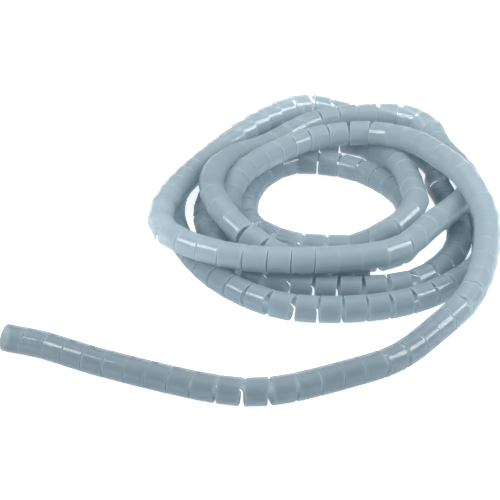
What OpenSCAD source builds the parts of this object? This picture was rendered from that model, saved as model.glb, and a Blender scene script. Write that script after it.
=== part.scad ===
// Spiral-cut guard tube, lying in a loose coil with one end led out.
// Millimetres, +Z up. The origin is the middle of the coil's footprint, on the surface it lies on.
// The tube is one long piece. It is drawn as lengths that meet face to face: an open, hollow
// length at each end, the loose tail, and the six turns of the coil.

/* [Tube] */
// Outer diameter of the tube
tube_d = 24; // [12:1:32]
// Wall thickness
wall = 2; // [1:0.25:4]

/* [Shape] */
// Flat sides around the turns
sides = 12; // [8:4:12]
// Smoothness of the two open ends
end_fn = 96; // [24:8:128]

/* [Colour] */
// Frosted, natural polyethylene
tube_colour = [0.62, 0.7, 0.75];

/* [Output] */
// Length of the tube to draw

/* [Hidden] */

bore_r = tube_d / 2 - wall;
up = [0, 0, 1];

// The middle of the coil's footprint, in the route's own coordinates.
middle = [9.1, 1, 0];

// The tube's centre line, from the mouth of the outer end to the mouth of the inner end.
route = [
    // outer end and tail, on the ground
    [-210, -165, 12], [-180, -175, 12], [-120, -205, 12], [-18, -243, 12], [20, -243, 12],
    [80, -220, 12], [122, -197, 12], [159, -158, 15], [190, -124, 25], [210, -72, 35],
    // first turn: over the top of the pile, then down inside the others
    [216, -9, 46], [202, 38, 57], [184, 77, 57], [157, 135, 46], [115, 165, 38], [60, 155, 36],
    [10, 110, 36], [-9, 80, 35], [-20, 40, 28], [-5, -10, 13], [50, -34, 12], [122, -33, 12],
    // second turn: the innermost one, on the ground
    [145, -15, 12], [150, 15, 12], [148, 80, 12], [115, 129, 12], [80, 148, 12], [40, 149, 12],
    [5, 105, 12], [0, 30, 12], [40, -9, 12], [95, -15, 13],
    // third turn: up over the second one, then back to the ground outside it
    [125, -14, 27], [145, 0, 35], [155, 25, 38], [154, 60, 37], [149, 100, 34], [135, 150, 19],
    [110, 190, 12], [65, 196, 12], [5, 161, 12], [-34, 95, 12], [-41, 30, 12], [-5, -60, 12],
    [75, -87, 12], [145, -77, 12],
    // fourth turn: all the way round on the ground
    [182, -38, 12], [196, 5, 12], [195, 50, 12], [185, 105, 12], [185, 140, 12], [162, 182, 12],
    [120, 215, 12], [70, 221, 12], [5, 195, 12], [-45, 145, 12], [-71, 90, 12], [-70, 20, 12],
    [-33, -64, 12], [20, -111, 12], [70, -121, 12], [135, -110, 12],
    // fifth turn: the outermost one on the ground, then up and over the top
    [185, -76, 12], [212, -40, 12], [219, 5, 12], [220, 60, 12], [214, 125, 12], [192, 182, 12],
    [155, 225, 12], [115, 245, 14], [60, 240, 31], [15, 200, 35], [-40, 125, 31], [-76, 40, 35],
    [-82, -5, 32], [-60, -42, 34], [5, -75, 36], [125, -65, 37],
    // sixth turn: along the top, then down inside to the inner end, on the ground
    [170, -10, 36], [206, 45, 34], [211, 75, 33], [203, 105, 34], [190, 140, 35], [182, 178, 36],
    [160, 205, 36], [120, 210, 35], [70, 195, 36], [15, 150, 31], [-15, 120, 35], [-34, 75, 42],
    [-33, 20, 45], [-5, -30, 36], [48, -58, 17], [78, -60, 12], [108, -60, 12]
];
last = len(route) - 1;

// The points of the route where each length begins, in order along the tube.
tail_start = 1;
turn_starts = [9, 22, 32, 46, 62, 78];
inner_start = last - 1;

function unit(v) = v / norm(v);

// Direction of the straight piece that begins at point k.
function piece(k) = unit(route[k + 1] - route[k]);

// Direction of the tube at point k. The hollow ends are straight, so the joints to them are square.
function heading(k) =
    k <= tail_start ? piece(0)
    : k >= inner_start ? piece(inner_start)
    : unit(piece(k - 1) + piece(k));

// The tube's outline at point k, with one corner straight below the centre.
function ring(k) =
    let (across = unit(cross(heading(k), up)), over = cross(across, heading(k)))
    [for (i = [0:sides - 1])
        let (angle = 360 * i / sides)
        route[k] - middle + tube_d / 2 * (cos(angle) * across + sin(angle) * over)];

// A length of the tube from one point of the route to another.
module length_of_tube(first, end) {
    rings = end - first;
    corners = [for (k = [first:end]) each ring(k)];
    skin = [for (r = [0:rings - 1], i = [0:sides - 1])
        let (a = r * sides + i, b = r * sides + (i + 1) % sides)
        each [[a, b, b + sides], [a, b + sides, a + sides]]];
    start_face = [for (i = [sides - 1:-1:0]) i];
    end_face = [for (i = [0:sides - 1]) rings * sides + i];
    color(tube_colour)
        polyhedron(points = corners, faces = concat([start_face], skin, [end_face]));
}

// A straight, hollow length of the tube that begins at point k.
module open_length(k) {
    run = norm(route[k + 1] - route[k]);
    turn = atan2(piece(k).y, piece(k).x);
    color(tube_colour)
        translate(route[k] - middle)
            rotate([0, 90, turn])
                difference() {
                    cylinder(h = run, d = tube_d, $fn = end_fn);
                    translate([0, 0, -wall])
                        cylinder(h = run + 2 * wall, r = bore_r, $fn = end_fn);
                }
}

module outer_end() {
    open_length(0);
}

module tail() {
    length_of_tube(tail_start, turn_starts[0]);
}

// Turn number n of the coil, counted from 1.
module turn(n) {
    next = n < len(turn_starts) ? turn_starts[n] : inner_start;
    length_of_tube(turn_starts[n - 1], next);
}

module inner_end() {
    open_length(inner_start);
}

outer_end();
tail();
turn(1);  // turn_1
turn(2);  // turn_2
turn(3);  // turn_3
turn(4);  // turn_4
turn(5);  // turn_5
turn(6);  // turn_6
inner_end();
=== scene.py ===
"""A spiral-cut guard tube in a loose coil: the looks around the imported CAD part.

Everything is in metres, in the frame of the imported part, with +Z up. Sizes in millimetres are
turned into metres with MM.
"""

import math
import random

import bpy
import numpy as np
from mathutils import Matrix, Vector


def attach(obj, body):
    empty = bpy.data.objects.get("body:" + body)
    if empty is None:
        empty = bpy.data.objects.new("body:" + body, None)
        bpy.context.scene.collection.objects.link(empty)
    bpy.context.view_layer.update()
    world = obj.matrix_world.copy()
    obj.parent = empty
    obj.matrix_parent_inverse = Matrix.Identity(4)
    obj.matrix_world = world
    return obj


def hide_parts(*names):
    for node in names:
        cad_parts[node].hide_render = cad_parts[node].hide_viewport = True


MM = 0.001

# ---------------------------------------------------------------- the tube

TUBE_R = 12 * MM
WALL = 2 * MM
RIBBON_W = 18.8 * MM  # the ribbon's width along the tube
CUT_EDGE = 0.35 * MM  # rounding of the ribbon's cut edges
SLIT_GAP = (0.4 * MM, 1.0 * MM)  # narrowest and widest slit where the tube is straight
MOST_BEND = 0.18  # the tightest bend that turns still spread for: TUBE_R over its radius
SEED = 7  # of the random gaps and leans

# Each turn of the ribbon is a stiff ring, nearly square to the tube, apart from a stretch on the
# side towards the back of the coil, where the ribbon crosses over to the next ring.
CROSS_SIDE = (0, 1, -0.05)
CROSS_WIDTH = 80  # degrees around the tube
RING_DRIFT = 0.12  # the share of a pitch by which a ring is not quite square
RING_STEPS = 24  # sections of the ribbon in a ring, and in the stretch that crosses over
CROSS_STEPS = 12
WOBBLE = 1.2  # degrees by which a ring may lean at random

# Where the tube is pushed over at the back of the coil, its rings lean and step sideways:
# (how far along the tube, over what length, by how many degrees).
LEANS = [(0.95, 0.2, 3), (3.88, 0.03, 7), (3.99, 0.07, -12)]

# Stretches of the tube, from and to, in metres along it. In the first ones the turns have slid up
# to each other, so that the slits are only hairlines, even on the outside of a bend. In the second
# ones the turns stand further apart, by the extra width that is given last.
CLOSED = [(0.45, 0.7), (0.88, 1.1), (1.7, 1.95), (4.02, 4.72), (4.93, 5.16)]
OPENED = [(1.58, 1.7, 0.9 * MM), (2.3, 2.5, 0.8 * MM)]
FADE = 0.05  # the length over which they begin and end
HAIRLINE = 1.3 * MM
NARROWEST = 4 * CUT_EDGE  # a narrower sliver of ribbon at a cut-off end is left out

# Layers of the mesh that the material reads: where a point is around and along the tube, in
# metres, and 1 on the cut edges of the ribbon.
PLACE_LAYER = "around_and_along"
EDGE_LAYER = "cut_edge"

# The tube's centre line in millimetres, from the mouth of the outer end, as in part.scad.
ROUTE = [
    # outer end and tail, on the ground
    (-210, -165, 12), (-180, -175, 12), (-120, -205, 12), (-18, -243, 12), (20, -243, 12),
    (80, -220, 12), (122, -197, 12), (159, -158, 15), (190, -124, 25), (210, -72, 35),
    # first turn: over the top of the pile, then down inside the others
    (216, -9, 46), (202, 38, 57), (184, 77, 57), (157, 135, 46), (115, 165, 38), (60, 155, 36),
    (10, 110, 36), (-9, 80, 35), (-20, 40, 28), (-5, -10, 13), (50, -34, 12), (122, -33, 12),
    # second turn: the innermost one, on the ground
    (145, -15, 12), (150, 15, 12), (148, 80, 12), (115, 129, 12), (80, 148, 12), (40, 149, 12),
    (5, 105, 12), (0, 30, 12), (40, -9, 12), (95, -15, 13),
    # third turn: up over the second one, then back to the ground outside it
    (125, -14, 27), (145, 0, 35), (155, 25, 38), (154, 60, 37), (149, 100, 34), (135, 150, 19),
    (110, 190, 12), (65, 196, 12), (5, 161, 12), (-34, 95, 12), (-41, 30, 12), (-5, -60, 12),
    (75, -87, 12), (145, -77, 12),
    # fourth turn: all the way round on the ground
    (182, -38, 12), (196, 5, 12), (195, 50, 12), (185, 105, 12), (185, 140, 12), (162, 182, 12),
    (120, 215, 12), (70, 221, 12), (5, 195, 12), (-45, 145, 12), (-71, 90, 12), (-70, 20, 12),
    (-33, -64, 12), (20, -111, 12), (70, -121, 12), (135, -110, 12),
    # fifth turn: the outermost one on the ground, then up and over the top
    (185, -76, 12), (212, -40, 12), (219, 5, 12), (220, 60, 12), (214, 125, 12), (192, 182, 12),
    (155, 225, 12), (115, 245, 14), (60, 240, 31), (15, 200, 35), (-40, 125, 31), (-76, 40, 35),
    (-82, -5, 32), (-60, -42, 34), (5, -75, 36), (125, -65, 37),
    # sixth turn: along the top, then down inside to the inner end, on the ground
    (170, -10, 36), (206, 45, 34), (211, 75, 33), (203, 105, 34), (190, 140, 35), (182, 178, 36),
    (160, 205, 36), (120, 210, 35), (70, 195, 36), (15, 150, 31), (-15, 120, 35), (-34, 75, 42),
    (-33, 20, 45), (-5, -30, 36), (48, -58, 17), (78, -60, 12), (108, -60, 12),
]
ROUTE_MIDDLE = (9.1, 1, 0)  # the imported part's origin, in the route's own coordinates
LINE_STEP = 3.0  # millimetres between the points of the smoothed centre line
HEADING_REACH = 0.4 * TUBE_R  # how far each way a heading is measured over
BEND_REACH = TUBE_R  # how far each way a bend is measured over
CORD_STEP = TUBE_R / 2  # between the points of a path along the tube, which nothing uses

# ---------------------------------------------------------------- the centre line


def smooth_line(points, step):
    """Points about a step apart on a centripetal Catmull-Rom curve through the given ones."""
    points = [np.array(p, float) for p in points]
    points = [2 * points[0] - points[1], *points, 2 * points[-1] - points[-2]]
    line = []
    for p0, p1, p2, p3 in zip(points, points[1:], points[2:], points[3:]):
        t1 = np.linalg.norm(p1 - p0) ** 0.5
        t2 = t1 + np.linalg.norm(p2 - p1) ** 0.5
        t3 = t2 + np.linalg.norm(p3 - p2) ** 0.5
        count = max(2, int(np.linalg.norm(p2 - p1) / step))
        for t in np.linspace(t1, t2, count, endpoint=False):
            a1 = (t1 - t) / t1 * p0 + t / t1 * p1
            a2 = (t2 - t) / (t2 - t1) * p1 + (t - t1) / (t2 - t1) * p2
            a3 = (t3 - t) / (t3 - t2) * p2 + (t - t2) / (t3 - t2) * p3
            b1 = (t2 - t) / t2 * a1 + t / t2 * a2
            b2 = (t3 - t) / (t3 - t1) * a2 + (t - t1) / (t3 - t1) * a3
            line.append((t2 - t) / (t2 - t1) * b1 + (t - t1) / (t2 - t1) * b2)
    line.append(points[-2])
    return np.array(line)


class Line:
    """The tube's centre line: its place, heading and bend at any distance along it."""

    def __init__(self):
        points = (smooth_line(ROUTE, LINE_STEP) - np.array(ROUTE_MIDDLE)) * MM
        points[:, 2] = np.maximum(points[:, 2], TUBE_R)  # the curve never dips into the floor
        steps = np.linalg.norm(np.diff(points, axis=0), axis=1)
        self.points = points
        self.along = np.concatenate([[0.0], np.cumsum(steps)])
        self.length = self.along[-1]
        self.first_heading = (points[1] - points[0]) / steps[0]
        self.last_heading = (points[-1] - points[-2]) / steps[-1]

    def place(self, s):
        """A point on the line, which runs straight on beyond its two ends."""
        s = np.asarray(s, float)
        inside = np.stack([np.interp(s, self.along, self.points[:, k]) for k in range(3)], -1)
        before = np.minimum(s, 0)[..., None] * self.first_heading
        after = np.maximum(s - self.length, 0)[..., None] * self.last_heading
        return inside + before + after

    def heading(self, s):
        s = np.clip(s, HEADING_REACH, self.length - HEADING_REACH)
        way = self.place(s + HEADING_REACH) - self.place(s - HEADING_REACH)
        return way / np.linalg.norm(way, axis=-1, keepdims=True)

    def bend(self, s):
        """How tightly the tube is bent, as a share: its radius over the radius of the bend."""
        change = self.heading(s + BEND_REACH) - self.heading(s - BEND_REACH)
        return np.linalg.norm(change, axis=-1) / (2 * BEND_REACH) * TUBE_R


def smooth_step(t):
    """0 to 1 as t goes from 0 to 1, with a soft start and end."""
    t = np.clip(t, 0, 1)
    return t * t * (3 - 2 * t)


def sideways(heading):
    """Two directions square to the tube: level to its right, and up."""
    across = np.cross(heading, (0, 0, 1))
    across /= np.linalg.norm(across, axis=1, keepdims=True)
    return across, np.cross(across, heading)


# ---------------------------------------------------------------- the ribbon


def share_inside(s, start, end):
    """1 well inside a stretch of the tube and 0 outside it, with a soft change between."""
    return smooth_step(np.minimum(s - start, end - s) / FADE)


def ring_places(line, rng):
    """The distance along the tube of each ring's middle, from one ring before the outer end."""
    places = [-0.5 * RIBBON_W, 0.5 * RIBBON_W]
    while places[-1] < line.length + RIBBON_W:
        last = places[-1]
        bend = min(float(line.bend(last + 0.5 * RIBBON_W)), MOST_BEND)
        gap = rng.uniform(*SLIT_GAP)
        gap += sum(extra * share_inside(last, start, end) for start, end, extra in OPENED)
        places.append(last + RIBBON_W / (1 - bend) + gap)
    return np.array(places)


def ring_leans(places, rng):
    """How far each ring's axis is turned from the tube's heading, in radians."""
    leans = np.array([rng.uniform(-WOBBLE, WOBBLE) for _ in places])
    for middle, spread, degrees in LEANS:
        leans += degrees * np.exp(-(((places - middle) / spread) ** 2))
    return np.radians(leans)


def ring_widths(line, places):
    """The ribbon's width at each ring: its own, or enough to close the slit beside it."""
    pitch = np.diff(places, append=places[-1] + RIBBON_W)
    outer = pitch * (1 + line.bend(places + pitch / 2)) - HAIRLINE
    closed = np.zeros(len(places))
    for start, end in CLOSED:
        closed = np.maximum(closed, share_inside(places, start, end))
    return RIBBON_W + closed * (outer - RIBBON_W)


def cross_angles(line, places):
    """The angle around the tube, from its right side over the top, at which each ring ends."""
    heading = line.heading(places)
    across, over = sideways(heading)
    return np.unwrap(np.arctan2(over @ CROSS_SIDE, across @ CROSS_SIDE))


def ribbon_steps(ends):
    """Around every turn: the angle of each step, and how far it has gone to the next ring."""
    half = math.radians(CROSS_WIDTH) / 2
    ring = np.linspace(0, 1, RING_STEPS, endpoint=False)
    cross = np.linspace(0, 1, CROSS_STEPS, endpoint=False)
    start = (np.concatenate([ends[:1], ends[:-1]]) + half - 2 * math.pi)[:, None]
    stop = (ends - half)[:, None]
    angles = np.hstack([start + (stop - start) * ring, stop + 2 * half * cross])
    shares = np.concatenate(
        [RING_DRIFT * (ring - 0.5), RING_DRIFT / 2 + (1 - RING_DRIFT) * smooth_step(cross)]
    )
    return angles, shares


def ribbon_profile():
    """The ribbon's section, corner by corner: which side of the ribbon's middle it is on, how far
    it is in from that edge and out from the tube's axis, its normal's share along the tube and
    outwards, and whether it is on a cut edge."""
    outer, inner = TUBE_R, TUBE_R - WALL
    e = CUT_EDGE
    tilt = 0.3  # how far a cut face's normals lean towards its rims, which looks rounded
    return [
        (-1, e, outer, 0, 1, 1),
        (0, 0, outer, 0, 1, 0),
        (1, e, outer, 0, 1, 1),
        (1, 0, outer - e, 1, tilt, 1),
        (1, 0, inner + e, 1, -tilt, 1),
        (1, e, inner, 0, -1, 1),
        (-1, e, inner, 0, -1, 1),
        (-1, 0, inner + e, -1, -tilt, 1),
        (-1, 0, outer - e, -1, tilt, 1),
    ]


def ribbon_sections(line, rng):
    """Every section of the ribbon: the distance of its middle along the tube, its angle around
    the tube, its lean, and the distances of its two edges along the tube."""
    places = ring_places(line, rng)
    angles, shares = ribbon_steps(cross_angles(line, places))

    def between_rings(values):
        return (values[:-1, None] + shares * np.diff(values)[:, None]).ravel()

    middles = between_rings(places)
    lean = between_rings(ring_leans(places, rng))
    width = between_rings(ring_widths(line, places))
    around = angles[:-1].ravel()
    low = np.maximum(middles - width / 2, 0)
    high = np.minimum(middles + width / 2, line.length)
    kept = high - low > NARROWEST
    return middles[kept], around[kept], lean[kept], low[kept], high[kept]


def ribbon_surface(line, rng):
    """Each corner of each section of the ribbon: its point, its normal, whether it is on a cut
    edge, and its place around and along the tube."""
    middles, around, lean, low, high = ribbon_sections(line, rng)
    centre = line.place(middles)
    heading = line.heading(middles)
    across, over = sideways(heading)
    turn_cos, turn_sin = np.cos(lean)[:, None], np.sin(lean)[:, None]
    axis = turn_cos * heading - turn_sin * across
    across = turn_cos * across + turn_sin * heading
    outward = np.cos(around)[:, None] * across + np.sin(around)[:, None] * over

    points, normals, edges, places = [], [], [], []
    for side, inset, radius, n_along, n_out, cut in ribbon_profile():
        at = {-1: low + inset, 0: (low + high) / 2, 1: high - inset}[side]
        points.append(centre + (at - middles)[:, None] * axis + radius * outward)
        normals.append(n_along * axis + n_out * outward)
        edges.append(np.full(len(middles), float(cut)))
        places.append(np.stack([around * radius, at], -1))
    normals = np.stack(normals, 1)
    normals /= np.linalg.norm(normals, axis=-1, keepdims=True)
    return np.stack(points, 1), normals, np.stack(edges, 1), np.stack(places, 1)


def ribbon_faces(count, corners):
    """The faces between one section of the ribbon and the next, and the two end faces."""
    first = np.arange(count - 1)[:, None] * corners
    corner = np.arange(corners)[None]
    after = (corner + 1) % corners
    quads = np.stack(
        [first + corner, first + after, first + corners + after, first + corners + corner], -1
    )
    faces = quads.reshape(-1, 4).tolist()
    faces.append(list(range(corners - 1, -1, -1)))
    faces.append([(count - 1) * corners + k for k in range(corners)])
    return faces


def ribbon_mesh(line, rng):
    """The whole tube: one ribbon, wound along the centre line."""
    points, normals, edges, places = ribbon_surface(line, rng)
    faces = ribbon_faces(*edges.shape)
    mesh = bpy.data.meshes.new("spiral_tube")
    mesh.from_pydata(points.reshape(-1, 3).tolist(), [], faces)
    mesh.polygons.foreach_set("use_smooth", [True] * len(mesh.polygons))
    rim = mesh.attributes.new(EDGE_LAYER, "FLOAT", "POINT")
    rim.data.foreach_set("value", edges.ravel().astype(np.float32))
    layer = mesh.uv_layers.new(name=PLACE_LAYER)
    loops = np.empty(len(mesh.loops), np.int32)
    mesh.loops.foreach_get("vertex_index", loops)
    places = places.reshape(-1, 2)[loops]
    layer.data.foreach_set("uv", places.astype(np.float32).ravel())
    mesh.validate()
    mesh.normals_split_custom_set_from_vertices(normals.reshape(-1, 3).tolist())
    return mesh


# ---------------------------------------------------------------- materials

WHITE = (1, 1, 1, 1)

# The plastic's own colour drifts between two tints, where soft noise is low and where it is high.
DARK_TINT = (0.325, 0.39, 0.42, 1)
LIGHT_TINT = (0.36, 0.427, 0.457, 1)
TINT_STOPS = (0.3, 0.7)
CLOUDS_PER_METRE = 28.0
CLOUD_DETAIL = 4.0

# The ribbon's cut edges are paler, a painted rim highlight. The power keeps the pale colour close
# to them.
EDGE_HIGHLIGHT_COLOUR = (0.45, 0.515, 0.545, 1)
EDGE_HIGHLIGHT_POWER = 10.0

# Painted shade on the floor and painted light on top of the coil, multiplied into the plastic's
# colour, and the heights where they are reached.
FLOOR_PAINTED_SHADE = (0.76, 0.82, 0.86, 1)
TOP_PAINTED_LIGHT = (1.14, 1.14, 1.14, 1)
LOW_HEIGHT = 12 * MM
HIGH_HEIGHT = 40 * MM

# Painted shade: how much darker the tail is painted, and the distances along the tube between
# which that fades out. Then the same painted shade for the first turn of the ribbon, at the tube's
# mouth.
TAIL_PAINTED_SHADE = 0.82
TAIL_SHADE_FADE = (0.35, 0.55)
MOUTH_PAINTED_SHADE = 0.72
MOUTH_SHADE_FADE = (0, RIBBON_W)

# Fine streaks that run along the tube: how many there are to a metre around it and along it.
STREAKS_PER_METRE = (900, 25, 1)
STREAK_DETAIL = 3.0
STREAK_HEIGHT = 0.1 * MM
STREAK_STRENGTH = 0.12
ROUGHNESS = (0.09, 0.19)
IOR = 1.5
GLOSS = 0.85

# The share of the light that the plastic scatters through itself, and the share that goes
# straight through it.
MILK_COLOUR = (0.58, 0.637, 0.66, 1)
MILK_SHARE = 0.62
CLEAR_COLOUR = (0.84, 0.9, 0.93, 1)
CLEAR_SHARE = 0.28


class Shader:
    """The nodes of a new material."""

    def __init__(self, name):
        self.material = bpy.data.materials.new(name)
        self.material.use_nodes = True
        self.nodes = self.material.node_tree.nodes
        self.links = self.material.node_tree.links
        self.nodes.clear()

    def add(self, kind, inputs):
        """A new node. Each of its inputs is linked to a socket or set to a value."""
        node = self.nodes.new("ShaderNode" + kind)
        for name, value in inputs.items():
            if isinstance(value, bpy.types.NodeSocket):
                self.links.new(value, node.inputs[name])
            else:
                node.inputs[name].default_value = value
        return node

    def math(self, operation, first, second):
        node = self.add("Math", {0: first, 1: second})
        node.operation = operation
        return node.outputs["Value"]

    def ramp(self, value, start, end, low=0, high=1):
        """A value that goes from low to high while another one goes from start to end."""
        ends = {"From Min": start, "From Max": end, "To Min": low, "To Max": high}
        return self.add("MapRange", {"Value": value, **ends}).outputs["Result"]

    def blend(self, share, first, second, how="MIX"):
        """The first colour, with a share of the second one mixed or multiplied in."""
        node = self.add("MixRGB", {"Fac": share, "Color1": first, "Color2": second})
        node.blend_type = how
        return node.outputs["Color"]

    def noise(self, point, scale, detail):
        node = self.add("TexNoise", {"Vector": point, "Scale": scale, "Detail": detail})
        return node.outputs["Fac"]

    def finished(self, surface):
        """The material, with a shader as its surface."""
        self.add("OutputMaterial", {"Surface": surface})
        return self.material


def cloudy_tint(shader, point):
    tint = shader.add("ValToRGB", {"Fac": shader.noise(point, CLOUDS_PER_METRE, CLOUD_DETAIL)})
    dark, light = tint.color_ramp.elements
    dark.position, light.position = TINT_STOPS
    dark.color = DARK_TINT
    light.color = LIGHT_TINT
    return tint.outputs["Color"]


def with_painted_edge_highlights(shader, colour):
    edge = shader.add("Attribute", {})
    edge.attribute_name = EDGE_LAYER
    highlight_nearness = shader.math("POWER", edge.outputs["Fac"], EDGE_HIGHLIGHT_POWER)
    # painted rim highlight: the cut edges are mixed towards a paler colour
    return shader.blend(highlight_nearness, colour, EDGE_HIGHLIGHT_COLOUR)


def painted_light_and_shade(shader, point, along):
    """Painted light and shade at a point, multiplied into the plastic's colour: lighter on top of
    the coil and darker on the floor, standing in for turns that lie on other turns catching the
    light scattered up from below them; painted shade on the tail, which lies alone, and on the
    first turn, against the light that the open mouth lets in."""
    height = shader.add("SeparateXYZ", {"Vector": point}).outputs["Z"]
    # painted light and shade by height: darker on the floor, lighter on top of the coil
    height_light_and_shade = shader.blend(shader.ramp(height, LOW_HEIGHT, HIGH_HEIGHT), FLOOR_PAINTED_SHADE, TOP_PAINTED_LIGHT)
    # painted shade on the tail, and on the first turn at the open mouth
    tail_shade = shader.ramp(along, *TAIL_SHADE_FADE, low=TAIL_PAINTED_SHADE)
    mouth_shade = shader.ramp(along, *MOUTH_SHADE_FADE, low=MOUTH_PAINTED_SHADE)
    return shader.blend(1, height_light_and_shade, shader.math("MULTIPLY", tail_shade, mouth_shade), "MULTIPLY")


def extruded_streaks(shader, place):
    stretched = shader.add("Mapping", {"Vector": place, "Scale": STREAKS_PER_METRE})
    return shader.noise(stretched.outputs["Vector"], 1, STREAK_DETAIL)


def glossy_skin(shader, colour, streaks):
    bump = shader.add(
        "Bump", {"Height": streaks, "Strength": STREAK_STRENGTH, "Distance": STREAK_HEIGHT}
    )
    return shader.add(
        "BsdfPrincipled",
        {
            "Base Color": colour,
            "Roughness": shader.ramp(streaks, 0, 1, *ROUGHNESS),
            "IOR": IOR,
            "Specular IOR Level": GLOSS,
            "Normal": bump.outputs["Normal"],
        },
    )


def polyethylene():
    """Frosted, natural polyethylene: it lets light through, its cut edges are paler as a painted
    rim highlight, and painted light and shade by height, on the tail and at the mouth are
    multiplied into its colour.
    """
    shader = Shader("frosted_polyethylene")
    point = shader.add("TexCoord", {}).outputs["Object"]
    layer = shader.add("UVMap", {})
    layer.uv_map = PLACE_LAYER
    place = layer.outputs["UV"]
    along = shader.add("SeparateXYZ", {"Vector": place}).outputs["Y"]

    painted_tone = painted_light_and_shade(shader, point, along)
    colour = with_painted_edge_highlights(shader, cloudy_tint(shader, point))
    # painted light and shade multiplied into the plastic's colour
    colour = shader.blend(1, colour, painted_tone, "MULTIPLY")
    skin = glossy_skin(shader, colour, extruded_streaks(shader, place))
    # the same painted light and shade darkens and lightens the light scattered through
    milk = shader.add("BsdfTranslucent", {"Color": shader.blend(1, MILK_COLOUR, painted_tone, "MULTIPLY")})
    clear = shader.add("BsdfTransparent", {"Color": CLEAR_COLOUR})
    milky = shader.add("MixShader", {"Fac": MILK_SHARE, 1: skin.outputs[0], 2: milk.outputs[0]})
    whole = shader.add("MixShader", {"Fac": CLEAR_SHARE, 1: milky.outputs[0], 2: clear.outputs[0]})
    return shader.finished(whole.outputs[0])


# ---------------------------------------------------------------- the set

CAMERA_TILT = 31  # degrees above the ground
CAMERA_DISTANCE = 1.7
CAMERA_LENS = 130.5
CAMERA_SENSOR = 36
CAMERA_FAR = 50

FLOOR_HALF = 6.0  # from the middle of the floor to its edges
FLOOR_COLOUR = (0.9, 0.9, 0.9, 1)
FLOOR_ROUGHNESS = 0.9
FLOOR_GLOW = 0.75

# Soft boxes, all aimed at the middle of the coil: name, place, width and height, watts.
LIGHTS = [
    ("overhead", (0, 0.3, 2.2), (2.4, 2.4), 27),
    ("left_box", (-1.5, -0.4, 1.23), (0.6, 1.0), 33),
    ("right_box", (1.55, -0.2, 1.23), (0.6, 1.0), 33),
]
LIGHTS_AIM = (0, 0, 0.03)
ROOM_STRENGTH = 0.55


def link(name, data):
    item = bpy.data.objects.new(name, data)
    bpy.context.scene.collection.objects.link(item)
    return item


def add_camera():
    """A camera at the viewing angle of the photo, aimed at the route's own origin."""
    data = bpy.data.cameras.new("camera")
    data.lens = CAMERA_LENS
    data.sensor_width = CAMERA_SENSOR
    data.clip_end = CAMERA_FAR
    camera = link("camera", data)
    tilt = math.radians(CAMERA_TILT)
    aim = Vector([-v * MM for v in ROUTE_MIDDLE])
    camera.location = aim + CAMERA_DISTANCE * Vector((0, -math.cos(tilt), math.sin(tilt)))
    camera.rotation_euler = (math.pi / 2 - tilt, 0, 0)
    bpy.context.scene.camera = camera


def floor_material():
    """Matt paint that glows a little, like a light table, so that shadows stay faint."""
    shader = Shader("pale_floor")
    paint = shader.add(
        "BsdfPrincipled",
        {
            "Base Color": FLOOR_COLOUR,
            "Roughness": FLOOR_ROUGHNESS,
            "Specular IOR Level": 0,
            "Emission Color": WHITE,
            "Emission Strength": FLOOR_GLOW,
        },
    )
    return shader.finished(paint.outputs[0])


def add_floor():
    h = FLOOR_HALF
    mesh = bpy.data.meshes.new("floor")
    mesh.from_pydata([(-h, -h, 0), (h, -h, 0), (h, h, 0), (-h, h, 0)], [], [(0, 1, 2, 3)])
    mesh.materials.append(floor_material())
    link("floor", mesh)


def add_light(name, place, size, power):
    data = bpy.data.lights.new(name, "AREA")
    data.shape = "RECTANGLE"
    data.size, data.size_y = size
    data.energy = power
    light = link(name, data)
    light.location = place
    aim = Vector(LIGHTS_AIM) - Vector(place)
    light.rotation_euler = aim.to_track_quat("-Z", "Y").to_euler()


def add_room_light():
    """White light from all around."""
    world = bpy.data.worlds.new("soft_room")
    world.use_nodes = True
    background = world.node_tree.nodes["Background"]
    background.inputs["Color"].default_value = WHITE
    background.inputs["Strength"].default_value = ROOM_STRENGTH
    bpy.context.scene.world = world


def show_plainly():
    """Colours go out as they are, with no film look."""
    bpy.context.scene.view_settings.view_transform = "Standard"


# ---------------------------------------------------------------- the scene


def add_tube(nodes):
    line = Line()
    tube = link("spiral_tube", ribbon_mesh(line, random.Random(SEED)))
    tube.data.materials.append(polyethylene())
    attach(tube, "root")
    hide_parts(*nodes)
    path = line.place(np.arange(0, line.length, CORD_STEP))
    path = np.vstack([path, line.points[-1]])


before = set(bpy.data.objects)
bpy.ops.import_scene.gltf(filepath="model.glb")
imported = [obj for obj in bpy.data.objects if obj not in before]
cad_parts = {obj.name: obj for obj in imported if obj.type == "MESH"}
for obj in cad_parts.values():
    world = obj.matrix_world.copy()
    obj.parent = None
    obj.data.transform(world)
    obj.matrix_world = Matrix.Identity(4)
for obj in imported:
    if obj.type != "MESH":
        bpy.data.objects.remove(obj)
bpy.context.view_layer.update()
show_plainly()
add_camera()
add_tube(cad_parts)
add_floor()
for light in LIGHTS:
    add_light(*light)
add_room_light()
